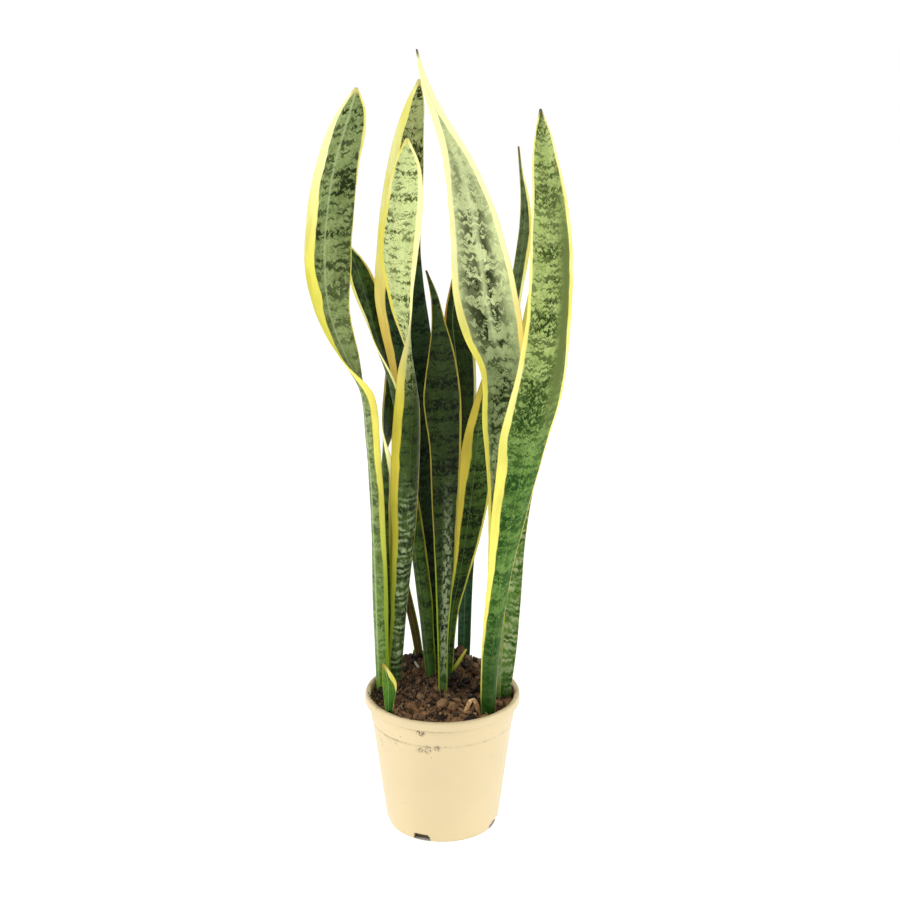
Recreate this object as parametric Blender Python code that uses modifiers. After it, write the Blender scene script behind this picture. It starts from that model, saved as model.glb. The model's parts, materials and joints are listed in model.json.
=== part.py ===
"""A variegated snake plant in a plastic nursery pot, standing on z = 0 with the pot's axis on z.

The viewer's side is -Y. Lengths in the tables are millimetres and angles are degrees.
"""

import math

import bmesh
import bpy
import numpy as np
from mathutils import Matrix

MM = 0.001

# Pot. Radii and heights of the outer side.
POT_HEIGHT = 155.0
LIP_RADIUS = 85.0
LIP_HEIGHT = 10.0
WALL = 1.5
COLLAR_TOP_RADIUS = 80.6
COLLAR_BOTTOM_RADIUS = 78.2
COLLAR_BOTTOM = 124.0
BODY_TOP_RADIUS = 77.2
BODY_BOTTOM_RADIUS = 62.6
FOOT_HEIGHT = 7.0
FOOT_RADIUS = 60.0
FOOT_RING_WIDTH = 6.0
CENTRE_PAD_RADIUS = 36.0
CHANNEL_HEIGHT = 4.5
FLOOR_TOP = 6.5
NOTCH_WIDTH = 21.0
NOTCH_HEIGHT = 9.0
NOTCH_ANGLES = (-112.0, -22.0, 68.0, 158.0)
ROUND_STEPS = 48

# Soil. Its level falls towards the front and rises to a mound at the back.
GAP = 0.35
SOIL_RADIUS = COLLAR_TOP_RADIUS - WALL - GAP - 0.5
SOIL_FRONT = 145.0
MOUND_HEIGHT = 31.0
MOUND_CENTRE = (-3.0, 60.0)
MOUND_SPREAD = (60.0, 50.0)
BANK_SLOPE = 1.1
CLOD_HEIGHT = 1.6

# Leaves. A leaf is a channelled blade: its section is thickest on the keel and thin at the margins.
ROOTED_DEPTH = 26.0
MARGIN_THICKNESS = 0.9
SECTION_STEP = 38.0
TURN_STEP = 24.0
ACROSS = (-1.0, -0.5, 0.0, 0.5, 1.0)

# Each row of a leaf: height, x, y, width, turn of the blade about its own axis.
# The blade's right margin points along +X at turn 0 and away from the viewer at turn 90.
LEAVES = {
    "leaf_left_tall": dict(
        keel=(5.0, 2.4),
        channel=(0.22, 0.32, 0.20),
        colour=(0.10, 0.20, 0.06),
        rows=(
            (153, -67, 11, 17, 152),
            (246, -69, 9, 20, 146),
            (358, -71, 6, 20, 140),
            (449, -76, 2, 20, 134),
            (500, -82, 0, 24, 112),
            (530, -97, -2, 30, 62),
            (575, -114, -4, 40, 40),
            (628, -120, -7, 54, 34),
            (680, -117, -11, 54, 32),
            (742, -106, -16, 49, 30),
            (791, -91, -20, 32, 30),
            (814, -84, -22, 3, 30),
        ),
    ),
    "leaf_left_front": dict(
        keel=(5.0, 2.4),
        channel=(0.24, 0.32, 0.12),
        colour=(0.16, 0.26, 0.09),
        rows=(
            (152, -53, 20, 14, -160),
            (220, -48, 19, 18, -158),
            (275, -44, 18, 21, -158),
            (330, -40, 16, 27, -158),
            (388, -38, 13, 33, -156),
            (450, -35, 10, 33, -150),
            (502, -34, 6, 29, -136),
            (541, -36, 2, 26, -92),
            (573, -38, -1, 28, -54),
            (607, -41, -4, 32, -30),
            (637, -43, -8, 40, -18),
            (667, -41, -12, 43, -14),
            (706, -36, -17, 37, -12),
            (743, -34, -22, 24, -12),
            (765, -34, -26, 2.5, -12),
        ),
    ),
    "leaf_left_back": dict(
        keel=(5.0, 2.4),
        channel=(0.26, 0.16, 0.10),
        colour=(0.10, 0.18, 0.06),
        rows=(
            (161, -9, 46, 13, 16),
            (241, -13, 48, 18, 16),
            (356, -24, 55, 28, 16),
            (468, -30, 63, 41, 16),
            (527, -37, 68, 52, 14),
            (580, -46, 73, 55, 14),
            (634, -47, 78, 48, 14),
            (703, -41, 86, 42, 14),
            (757, -34, 92, 30, 14),
            (786, -28, 96, 18, 14),
            (807, -24, 98, 2.5, 14),
        ),
    ),
    "leaf_left_leaning": dict(
        keel=(4.5, 2.2),
        channel=(0.22, 0.24, 0.14),
        colour=(0.07, 0.14, 0.05),
        rows=(
            (166, -14, 21, 13, 150),
            (250, -21, 28, 20, 146),
            (323, -30, 34, 22, 138),
            (407, -41, 41, 24, 124),
            (473, -50, 48, 25, 112),
            (505, -58, 52, 26, 92),
            (532, -67, 56, 27, 66),
            (562, -75, 60, 28, 48),
            (597, -85, 65, 30, 30),
            (621, -93, 68, 20, 26),
            (645, -106, 72, 2.5, 26),
        ),
    ),
    "leaf_left_short": dict(
        keel=(4.0, 2.2),
        channel=(0.22, 0.28, 0.16),
        colour=(0.08, 0.16, 0.05),
        rows=(
            (164, -58, 40, 12, 150),
            (231, -61, 46, 15, 146),
            (289, -62, 51, 16, 142),
            (350, -62, 57, 18, 136),
            (391, -62, 61, 26, 122),
            (436, -60, 65, 27, 58),
            (479, -56, 70, 20, 32),
            (515, -59, 74, 2.5, 36),
        ),
    ),
    "leaf_brown_narrow": dict(
        keel=(3.0, 1.8),
        channel=(0.14, 0.10, 0.08),
        colour=(0.20, 0.15, 0.06),
        rows=(
            (168, -26, 48, 9, 24),
            (204, -31, 51, 10, 24),
            (243, -39, 53, 10, 24),
            (286, -47, 54, 8, 24),
            (325, -52, 54, 2.5, 24),
        ),
    ),
    "leaf_centre_front": dict(
        keel=(5.0, 2.4),
        channel=(0.32, 0.26, 0.16),
        colour=(0.05, 0.09, 0.03),
        rows=(
            (159, 0, 1, 10, 14),
            (228, 0, 0, 13, 14),
            (310, 2, -2, 23, 14),
            (374, 2, -5, 29, 14),
            (446, 2, -8, 35, 14),
            (496, -1, -12, 40, 12),
            (543, -1, -16, 27, 12),
            (578, -4, -19, 14, 10),
            (609, -9, -22, 7, 10),
            (631, -16, -24, 2, 10),
        ),
    ),
    "leaf_centre_back": dict(
        keel=(4.5, 2.2),
        channel=(0.24, 0.16, 0.12),
        colour=(0.05, 0.09, 0.03),
        rows=(
            (165, 7, 39, 12, -18),
            (245, 8, 39, 15, -18),
            (339, 12, 41, 20, -18),
            (424, 18, 43, 26, -16),
            (474, 22, 45, 31, -16),
            (524, 20, 48, 32, -14),
            (559, 16, 50, 28, -12),
            (600, 17, 52, 16, -10),
            (632, 18, 54, 2.5, -10),
        ),
    ),
    "leaf_right_low": dict(
        keel=(4.5, 2.2),
        channel=(0.26, 0.18, 0.14),
        colour=(0.08, 0.15, 0.05),
        rows=(
            (157, 5, 14, 10, 20),
            (243, 11, 16, 14, 20),
            (295, 21, 18, 23, 18),
            (344, 28, 21, 34, 14),
            (390, 34, 24, 38, 12),
            (445, 39, 28, 31, 10),
            (482, 44, 31, 18, 8),
            (516, 48, 34, 2.5, 8),
        ),
    ),
    "leaf_tallest": dict(
        keel=(5.5, 2.4),
        channel=(0.26, 0.14, 0.10),
        colour=(0.14, 0.22, 0.09),
        rows=(
            (153, 56, -10, 14, 4),
            (219, 57, -10, 18, 2),
            (312, 60, -11, 22, 0),
            (408, 62, -13, 29, -4),
            (470, 62, -16, 40, -8),
            (520, 65, -18, 49, -12),
            (555, 56, -20, 62, -14),
            (596, 47, -22, 69, -14),
            (650, 39, -26, 59, -12),
            (711, 27, -31, 42, -10),
            (757, 12, -35, 26, -6),
            (798, -7, -40, 13, -4),
            (828, -18, -43, 6.5, -4),
            (854, -24, -46, 1.6, -4),
        ),
    ),
    "leaf_back_narrow": dict(
        keel=(5.5, 2.2),
        channel=(0.24, 0.20, 0.16),
        colour=(0.05, 0.11, 0.05),
        rows=(
            (158, 23, 61, 14, 18),
            (211, 24, 63, 16, 20),
            (282, 27, 67, 17, 24),
            (351, 36, 72, 18, 28),
            (441, 51, 79, 20, 30),
            (518, 66, 87, 22, 34),
            (572, 76, 93, 21, 38),
            (609, 83, 98, 19, 38),
            (647, 88, 103, 18, 32),
            (677, 88, 107, 12, 28),
            (708, 84, 112, 5, 26),
            (734, 81, 116, 1.8, 26),
        ),
    ),
    "leaf_right_front": dict(
        keel=(5.5, 2.4),
        channel=(-0.24, -0.14, -0.10),
        colour=(0.10, 0.20, 0.07),
        rows=(
            (149, 50, -43, 16, 18),
            (192, 51, -45, 19, 18),
            (260, 56, -48, 23, 18),
            (329, 64, -52, 29, 18),
            (371, 70, -54, 38, 18),
            (422, 79, -56, 47, 18),
            (462, 86, -58, 54, 18),
            (498, 95, -60, 56, 16),
            (549, 104, -63, 51, 16),
            (592, 108, -65, 47, 16),
            (662, 109, -69, 44, 16),
            (716, 106, -71, 35, 16),
            (751, 101, -73, 26, 16),
            (777, 98, -75, 17, 16),
            (801, 95, -76, 2, 16),
        ),
    ),
    "leaf_right_back": dict(
        keel=(5.0, 2.2),
        channel=(0.24, 0.14, 0.10),
        colour=(0.14, 0.24, 0.10),
        rows=(
            (150, 68, -4, 14, -24),
            (183, 72, -2, 15, -24),
            (239, 76, 1, 18, -22),
            (306, 78, 5, 21, -18),
            (354, 81, 9, 24, -16),
            (417, 88, 14, 32, -14),
            (482, 95, 20, 35, -12),
            (556, 98, 28, 30, -10),
            (592, 99, 32, 18, -10),
            (622, 97, 35, 2.5, -10),
        ),
    ),
    "pup_left": dict(
        keel=(3.2, 1.6),
        channel=(0.24, 0.20, 0.16),
        colour=(0.14, 0.26, 0.06),
        rows=(
            (149, -58, -42, 9, 24),
            (166, -57.5, -43, 13, 24),
            (184, -57.5, -43, 16, 24),
            (196, -60.5, -42, 9, 24),
            (205, -63.5, -41, 1.6, 24),
        ),
    ),
    "shoot_centre": dict(
        keel=(1.6, 1.2),
        channel=(0.10, 0.10, 0.10),
        colour=(0.42, 0.42, 0.10),
        rows=(
            (162, 9, 25, 4.4, 10),
            (172, 15, 26, 5.0, 10),
            (182, 21, 27, 4.0, 10),
            (191, 26.5, 28, 1.6, 10),
        ),
    ),
}

# Loose bits on the soil. Each row of a strip: x, y, height above the soil, width, thickness.
# face is the way that the strip's flat side looks.
STRIPS = {
    "dry_husk": dict(
        colour=(0.62, 0.46, 0.24),
        face=(0.15, -1.0, 0.2),
        rows=(
            (23.5, -44, -3, 3.4, 1.0),
            (26.5, -43, 9, 4.6, 1.0),
            (30.5, -42, 18.5, 4.4, 1.2),
            (34, -41, 19.5, 4.4, 1.2),
            (37.5, -40.5, 11, 4.4, 1.0),
            (40, -40, -3, 3.0, 1.0),
        ),
    ),
    "root_sliver": dict(
        colour=(0.40, 0.36, 0.30),
        face=(0.0, -0.4, 1.0),
        rows=(
            (-35, 45, 2.6, 1.4, 1.2),
            (-31, 40, 2.8, 2.4, 1.8),
            (-27, 34, 1.6, 2.6, 2.0),
            (-24, 30, -2.5, 2.0, 1.6),
        ),
    ),
}


def clear_scene():
    for obj in list(bpy.data.objects):
        bpy.data.objects.remove(obj)
    for collection in list(bpy.data.collections):
        bpy.data.collections.remove(collection)


def new_collection(name, helpers=False):
    collection = bpy.data.collections.new(name)
    collection.hide_render = helpers
    bpy.context.scene.collection.children.link(collection)
    return collection


def material(name, colour, roughness):
    made = bpy.data.materials.new(name)
    made.use_nodes = True
    shader = made.node_tree.nodes["Principled BSDF"]
    shader.inputs["Base Color"].default_value = (*colour, 1.0)
    shader.inputs["Roughness"].default_value = roughness
    shader.inputs["Metallic"].default_value = 0.0
    return made


def put(name, mesh, collection, made=None):
    obj = bpy.data.objects.new(name, mesh)
    collection.objects.link(obj)
    if made:
        mesh.materials.append(made)
        mesh.shade_smooth()
    else:
        obj.hide_render = True
        obj.display_type = "WIRE"
    return obj


def smooth_through(places, values, at):
    """A cubic through the values whose slope at each place is that between its neighbours."""
    places = np.asarray(places, float)
    values = np.asarray(values, float)
    slopes = np.gradient(values, places)
    i = int(np.clip(np.searchsorted(places, at) - 1, 0, len(places) - 2))
    span = places[i + 1] - places[i]
    t = (at - places[i]) / span
    blend_0 = (1 + 2 * t) * (1 - t) ** 2
    blend_1 = t * t * (3 - 2 * t)
    lean_0 = t * (1 - t) ** 2 * span
    lean_1 = t * t * (t - 1) * span
    ends = blend_0 * values[i] + blend_1 * values[i + 1]
    return float(ends + lean_0 * slopes[i] + lean_1 * slopes[i + 1])


def section_heights(rows):
    """The rows' own heights, and more between them where the blade is long or turns quickly."""
    heights = []
    for low, high in zip(rows, rows[1:]):
        rise = high[0] - low[0]
        turn = abs(high[4] - low[4])
        steps = max(1, math.ceil(rise / SECTION_STEP), math.ceil(turn / TURN_STEP))
        heights += [low[0] + rise * i / steps for i in range(steps)]
    return heights + [rows[-1][0]]


def blade_section(x, y, z, width, turn, keel, channel, extra):
    """Ten points round a level cut of the blade: the five of the face, then the five of the back."""
    along = (math.cos(math.radians(turn)), math.sin(math.radians(turn)))
    facing = (along[1], -along[0])
    face = []
    back = []
    for u in ACROSS:
        side = u * (width / 2 + extra)
        fold = channel * width * (u * u - 0.4)
        margin = min(MARGIN_THICKNESS, 0.8 * keel)
        half = (margin + (keel - margin) * (1 - u * u)) / 2 + extra
        for points, out in ((face, fold + half), (back, fold - half)):
            px = x + along[0] * side + facing[0] * out
            py = y + along[1] * side + facing[1] * out
            points.append((px * MM, py * MM, z * MM))
    return face + back[::-1]


def loft(name, sections):
    """A closed skin over rings of points that run the same way round, capped at both ends."""
    bm = bmesh.new()
    rings = [[bm.verts.new(p) for p in ring] for ring in sections]
    for low, high in zip(rings, rings[1:]):
        count = len(low)
        for i in range(count):
            j = (i + 1) % count
            bm.faces.new((low[i], low[j], high[j], high[i]))
    half = len(rings[0]) // 2
    for ring in (rings[0], rings[-1]):
        for i in range(half - 1):
            bm.faces.new((ring[i], ring[i + 1], ring[-2 - i], ring[-1 - i]))
    bmesh.ops.recalc_face_normals(bm, faces=bm.faces)
    mesh = bpy.data.meshes.new(name)
    bm.to_mesh(mesh)
    bm.free()
    return mesh


def blade(name, leaf, extra=0.0):
    """A leaf from its rooted end to its tip. With extra it's that much larger all round."""
    rows = leaf["rows"]
    columns = list(zip(*rows))
    low = rows[0][0]
    high = rows[-1][0]
    sections = []
    x, y, width, turn = (column[0] for column in columns[1:])
    lean = [(columns[k][1] - columns[k][0]) / (rows[1][0] - low) for k in (1, 2)]
    rooted = min(ROOTED_DEPTH, 0.35 * (high - low))
    for depth, share in ((rooted + extra, 0.8), (rooted / 2, 0.95)):
        place = (x - lean[0] * depth * 0.5, y - lean[1] * depth * 0.5, low - depth)
        sections.append(
            blade_section(*place, width * share, turn, leaf["keel"][0], leaf["channel"][0], extra)
        )
    for z in section_heights(rows):
        x, y, width, turn = (smooth_through(columns[0], column, z) for column in columns[1:])
        t = (z - low) / (high - low)
        keel = min(leaf["keel"][0] * (1 - t) + leaf["keel"][1] * t, 0.5 * width)
        channel = float(np.interp(t, (0.0, 0.5, 1.0), leaf["channel"]))
        sections.append(blade_section(x, y, z, width, turn, keel, channel, extra))
    return loft(name, sections)


def soil_level(x, y):
    """Height of the soil at a place: a front plain, the mound at the back, and low clods."""
    dx = (x - MOUND_CENTRE[0]) / MOUND_SPREAD[0]
    dy = (y - MOUND_CENTRE[1]) / MOUND_SPREAD[1]
    mound = MOUND_HEIGHT * math.exp(-(dx * dx + dy * dy))
    clods = math.sin(x * 0.31 + 1.0) * math.sin(y * 0.27 + 0.6)
    clods += 0.6 * math.sin(x * 0.13 - y * 0.41 + 2.0)
    bank = POT_HEIGHT + 1.0 + BANK_SLOPE * (SOIL_RADIUS - math.hypot(x, y))
    return min(SOIL_FRONT + mound + CLOD_HEIGHT * clods, bank)


def strip(name, piece, extra=0.0):
    """A flat bent strip, three points across each face, laid over the soil."""
    rows = piece["rows"]
    points = [np.array((x, y, soil_level(x, y) + up)) for x, y, up, _, _ in rows]
    sections = []
    for i, (_, _, _, width, thick) in enumerate(rows):
        ahead = points[min(i + 1, len(rows) - 1)] - points[max(i - 1, 0)]
        ahead /= np.linalg.norm(ahead)
        side = np.cross(ahead, piece["face"])
        side /= np.linalg.norm(side)
        up = np.cross(side, ahead)
        ends = -extra if i == 0 else extra if i == len(rows) - 1 else 0.0
        centre = points[i] + ahead * ends
        ring = []
        for u, v in ((-1, 1), (0, 1), (1, 1), (1, -1), (0, -1), (-1, -1)):
            bulge = 1.0 if u == 0 else 0.55
            place = centre + side * u * (width / 2 + extra) + up * v * (thick / 2 * bulge + extra)
            ring.append(tuple(place * MM))
        sections.append(ring)
    return loft(name, sections)


def turned(name, profile, collection, made):
    """The profile, from the axis and back to it, turned about z."""
    bm = bmesh.new()
    verts = [bm.verts.new((r * MM, 0.0, z * MM)) for r, z in profile]
    for a, b in zip(verts, verts[1:]):
        bm.edges.new((a, b))
    mesh = bpy.data.meshes.new(name)
    bm.to_mesh(mesh)
    bm.free()
    obj = put(name, mesh, collection, made)
    screw = obj.modifiers.new("turn", "SCREW")
    screw.axis = "Z"
    screw.steps = ROUND_STEPS
    screw.render_steps = ROUND_STEPS
    screw.use_merge_vertices = True
    screw.merge_threshold = 0.00005
    screw.use_smooth_shade = True
    return obj


def body_radius(z):
    """Outer radius of the tapered body."""
    share = (z - FOOT_HEIGHT) / (COLLAR_BOTTOM - FOOT_HEIGHT)
    return BODY_BOTTOM_RADIUS + (BODY_TOP_RADIUS - BODY_BOTTOM_RADIUS) * share


def inner_side():
    """The pot's inner side from the top of the wall down to the floor."""
    return [
        (COLLAR_TOP_RADIUS - WALL + 0.9, POT_HEIGHT - 0.5),
        (COLLAR_TOP_RADIUS - WALL, POT_HEIGHT - 2.5),
        (COLLAR_BOTTOM_RADIUS - WALL, COLLAR_BOTTOM + 1.0),
        (BODY_TOP_RADIUS - WALL, COLLAR_BOTTOM - 1.5),
        (body_radius(66) - WALL, 66.0),
        (BODY_BOTTOM_RADIUS - WALL, FOOT_HEIGHT + 3.0),
        (BODY_BOTTOM_RADIUS - WALL - 2.5, FLOOR_TOP),
    ]


def inner_radius(z):
    """Radius of the pot's inner side at a height in the collar or the body."""
    radii, heights = zip(*inner_side()[::-1])
    return float(np.interp(z, heights, radii))


def pot_profile():
    skirt = LIP_RADIUS - WALL
    under_lip = POT_HEIGHT - LIP_HEIGHT
    ring_inner = FOOT_RADIUS - FOOT_RING_WIDTH
    outer = [
        (LIP_RADIUS - 2.6, POT_HEIGHT),
        (LIP_RADIUS - 0.9, POT_HEIGHT - 0.7),
        (LIP_RADIUS, POT_HEIGHT - 2.6),
        (LIP_RADIUS + 0.2, under_lip + 0.7),
        (LIP_RADIUS - 0.3, under_lip),
        (skirt, under_lip),
        (skirt - 0.3, POT_HEIGHT - 2.6),
        (COLLAR_TOP_RADIUS + 0.2, POT_HEIGHT - 2.6),
        (COLLAR_TOP_RADIUS, under_lip - 1.0),
        (COLLAR_BOTTOM_RADIUS, COLLAR_BOTTOM + 1.0),
        (BODY_TOP_RADIUS, COLLAR_BOTTOM - 0.5),
        (body_radius(66), 66.0),
        (BODY_BOTTOM_RADIUS, FOOT_HEIGHT),
        (FOOT_RADIUS + 0.8, FOOT_HEIGHT - 1.2),
        (FOOT_RADIUS, 0.8),
        (FOOT_RADIUS - 0.8, 0.0),
    ]
    underside = [
        (ring_inner, 0.0),
        (ring_inner - 1.2, CHANNEL_HEIGHT),
        (CENTRE_PAD_RADIUS + 1.2, CHANNEL_HEIGHT),
        (CENTRE_PAD_RADIUS, 0.0),
        (0.0, 0.0),
    ]
    start = [(0.0, FLOOR_TOP)] + inner_side()[::-1]
    return start + outer + underside


def notch(angle, collection):
    """A cutter for one drain notch: through the foot ring and up through the floor's rim."""
    bm = bmesh.new()
    bmesh.ops.create_cube(bm, size=1.0)
    depth = FOOT_RING_WIDTH + 5.0
    for v in bm.verts:
        narrow = 0.8 if v.co.z > 0 else 1.0
        v.co.x = (v.co.x * depth + FOOT_RADIUS - 0.5) * MM
        v.co.y *= NOTCH_WIDTH * narrow * MM
        v.co.z = ((v.co.z + 0.5) * (NOTCH_HEIGHT + 1.0) - 1.0) * MM
    bmesh.ops.rotate(bm, verts=bm.verts, matrix=Matrix.Rotation(math.radians(angle), 3, "Z"))
    mesh = bpy.data.meshes.new("drain_cutter")
    bm.to_mesh(mesh)
    bm.free()
    return put("drain_cutter", mesh, collection)


def cut_all(obj, collection):
    boolean = obj.modifiers.new("cut", "BOOLEAN")
    boolean.operation = "DIFFERENCE"
    boolean.solver = "EXACT"
    boolean.operand_type = "COLLECTION"
    boolean.collection = collection


def soil_mesh():
    """The root ball: an uneven top, a side that follows the pot's inner side, and a flat bottom."""
    side = [(r - GAP, z) for r, z in inner_side()[2:-1]]
    top_rings = (12.0, 23.0, 33.0, 43.0, 52.0, 60.0, 67.0, 73.0)
    bm = bmesh.new()
    centre = bm.verts.new((0.0, 0.0, soil_level(0.0, 0.0) * MM))
    rings = []
    for radius in top_rings + (SOIL_RADIUS,):
        ring = []
        for k in range(ROUND_STEPS):
            angle = 2 * math.pi * k / ROUND_STEPS
            x = radius * math.cos(angle)
            y = radius * math.sin(angle)
            level = soil_level(x, y)
            if radius == SOIL_RADIUS:
                level = min(level - 1.5, POT_HEIGHT - 2.5)
                shrink = (inner_radius(level) - GAP) / radius
                x *= shrink
                y *= shrink
            ring.append(bm.verts.new((x * MM, y * MM, level * MM)))
        rings.append(ring)
    bottom = (side[-1][0] - 2.5, FLOOR_TOP + GAP)
    for radius, z in side + [bottom]:
        ring = []
        for k in range(ROUND_STEPS):
            angle = 2 * math.pi * k / ROUND_STEPS
            place = (radius * math.cos(angle) * MM, radius * math.sin(angle) * MM, z * MM)
            ring.append(bm.verts.new(place))
        rings.append(ring)
    low = bm.verts.new((0.0, 0.0, bottom[1] * MM))
    for k in range(ROUND_STEPS):
        j = (k + 1) % ROUND_STEPS
        bm.faces.new((centre, rings[0][k], rings[0][j]))
        bm.faces.new((low, rings[-1][j], rings[-1][k]))
        for inner, outer in zip(rings, rings[1:]):
            bm.faces.new((inner[k], outer[k], outer[j], inner[j]))
    bmesh.ops.recalc_face_normals(bm, faces=bm.faces)
    mesh = bpy.data.meshes.new("potting_soil")
    bm.to_mesh(mesh)
    bm.free()
    return mesh


def build():
    clear_scene()
    parts = new_collection("potted_snake_plant")
    drains = new_collection("drain_cutters", helpers=True)
    sockets = new_collection("socket_cutters", helpers=True)

    plastic = material("pot_plastic", (0.90, 0.80, 0.52), 0.45)
    pot = turned("nursery_pot", pot_profile(), parts, plastic)
    for angle in NOTCH_ANGLES:
        notch(angle, drains)
    cut_all(pot, drains)

    soil = put("potting_soil", soil_mesh(), parts, material("soil", (0.10, 0.055, 0.03), 0.95))
    for name, leaf in LEAVES.items():
        skin = material(name + "_skin", leaf["colour"], 0.42)
        put(name, blade(name, leaf), parts, skin)
        put(name + "_socket", blade(name + "_socket", leaf, GAP + 0.1), sockets)
    for name, piece in STRIPS.items():
        skin = material(name + "_skin", piece["colour"], 0.8)
        put(name, strip(name, piece), parts, skin)
        put(name + "_socket", strip(name + "_socket", piece, GAP + 0.1), sockets)
    cut_all(soil, sockets)


build()
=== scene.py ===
"""The looks of the potted snake plant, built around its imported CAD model.

Every leaf is made again as a fine blade that follows the CAD leaf's own sections, the soil as a
coarse mix with clods, bark and fibres, and the pot as a smooth moulded shell. Lengths are in metres,
except where a comment or a docstring says mm.
"""

import json
import math
import random

import bmesh
import bpy
import numpy as np
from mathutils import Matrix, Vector, noise

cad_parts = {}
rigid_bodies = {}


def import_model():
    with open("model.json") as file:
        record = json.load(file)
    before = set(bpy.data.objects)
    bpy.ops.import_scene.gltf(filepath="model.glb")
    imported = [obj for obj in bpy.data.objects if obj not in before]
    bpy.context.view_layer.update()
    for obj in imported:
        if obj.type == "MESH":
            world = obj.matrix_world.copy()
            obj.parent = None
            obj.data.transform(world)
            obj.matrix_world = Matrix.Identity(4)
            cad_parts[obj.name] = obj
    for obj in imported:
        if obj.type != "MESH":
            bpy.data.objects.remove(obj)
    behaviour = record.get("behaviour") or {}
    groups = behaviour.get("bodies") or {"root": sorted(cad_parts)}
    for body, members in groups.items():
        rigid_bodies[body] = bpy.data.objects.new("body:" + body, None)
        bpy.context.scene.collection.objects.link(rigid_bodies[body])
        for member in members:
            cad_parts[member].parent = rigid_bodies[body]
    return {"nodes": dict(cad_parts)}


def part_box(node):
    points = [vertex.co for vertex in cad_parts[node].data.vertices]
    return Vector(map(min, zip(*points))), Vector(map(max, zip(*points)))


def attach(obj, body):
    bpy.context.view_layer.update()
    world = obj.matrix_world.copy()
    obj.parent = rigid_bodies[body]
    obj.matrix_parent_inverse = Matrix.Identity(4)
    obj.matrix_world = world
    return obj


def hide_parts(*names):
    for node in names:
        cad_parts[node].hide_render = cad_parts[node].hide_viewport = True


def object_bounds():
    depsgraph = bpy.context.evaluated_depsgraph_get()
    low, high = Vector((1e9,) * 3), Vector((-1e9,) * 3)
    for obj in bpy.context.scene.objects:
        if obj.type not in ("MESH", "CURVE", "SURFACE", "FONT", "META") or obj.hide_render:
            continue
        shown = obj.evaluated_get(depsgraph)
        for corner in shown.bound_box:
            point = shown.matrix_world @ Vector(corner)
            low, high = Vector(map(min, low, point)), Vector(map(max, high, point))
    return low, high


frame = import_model()
cad_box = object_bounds()

MM = 0.001

# Leaf mesh: its rows and points, its least measures, and how its margins swing to and fro: swings per
# metre of height, and their depth.
ROW_STEP = 3.0 * MM
LEAST_ROWS = 30
CROWDING = 1.12  # over 1, the rows get closer towards the tip
SOFTENED_ROWS = 3
POINTS_ROUND = 36
SLICE_INSET = 0.03 * MM
LEAST_WIDTH = 0.8 * MM
LEAST_THICKNESS = 0.7 * MM
MARGIN_THICKNESS = 1.0 * MM
FULL_RIPPLE_WIDTH = 26 * MM
WAVES, WAVE_DEPTH = 24.0, 3.2 * MM
FINE_WAVES, FINE_DEPTH = 75.0, 0.5 * MM
NICKS, NICK_DEPTH = 55.0, 0.5 * MM


def tint(red, green, blue):
    """A colour given as screen values from 0 to 255, made linear."""
    return tuple(((c / 255 + 0.055) / 1.055) ** 2.4 for c in (red, green, blue))


# Colours of the leaves' borders
PALE = tint(252, 250, 182)
LEMON = tint(244, 238, 128)
YELLOW = tint(234, 223, 98)
GOLD = tint(232, 200, 92)
OLIVE = tint(140, 140, 44)
BRONZE = tint(184, 138, 52)
GREEN_EDGE = tint(128, 160, 34)

# Colour of the pale line along a leaf
STRIPE = tint(182, 196, 148)

# Each leaf's look, with every height in mm over the floor.
# borders: a height, then the width in mm of the border on the blade's left and right margins there.
# left, right: the borders' colours below and above the height split. green: the two heights between
# which the borders turn from leaf green to those colours.
# low, high: the ground's light and mid green and its dark marks, at the foot and at the tip, which
# blend into each other between the two heights of fade.
# marks: strength of the dark zigzag cross marks. grain: how many times finer they are than usual.
# dense: above 0, they cover more of the leaf, and below 0, less.
# faint: the marks have the third number's share of their strength below the first height, and all of
# it above the second. patches: strength of the broken dark patches beside the keel.
# chevrons: strength of the arched bands in the colour pale, which end between the heights of rise.
# stripe: place across (-1 to 1), width in mm and strength of the pale line that runs along the leaf.
# stripe_low: the stripe is spotted and ends at mid height.
# shades: the same three numbers for soft lengthwise painted shade, which is a painted highlight below
# strength 0.
# ripple: how much the margins swing. foot, foot_length: colour and height in mm of the tinted foot.
# tip: colour of the dry tip.
PLAIN = dict(
    split=470,
    left=(OLIVE, YELLOW),
    right=(OLIVE, YELLOW),
    green=(200, 340),
    faint=(0, 1, 1.0),
    fade=(300, 560),
    marks=0.8,
    grain=1.0,
    dense=0.0,
    patches=0.0,
    chevrons=0.0,
    rise=(300, 380),
    pale=tint(150, 172, 112),
    stripe=(0.0, 1.0, 0.2),
    stripe_low=False,
    shades=(),
    ripple=0.3,
    foot=tint(56, 90, 30),
    foot_length=50.0,
    tip=tint(110, 92, 44),
)
DEEP = (tint(72, 98, 36), tint(40, 64, 18), tint(16, 30, 6))
# Painted shade: a dark palette for leaves, and lower parts of leaves, that sit in the plant's shade.
SHADED = (tint(48, 66, 24), tint(28, 44, 11), tint(12, 22, 3))
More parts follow.
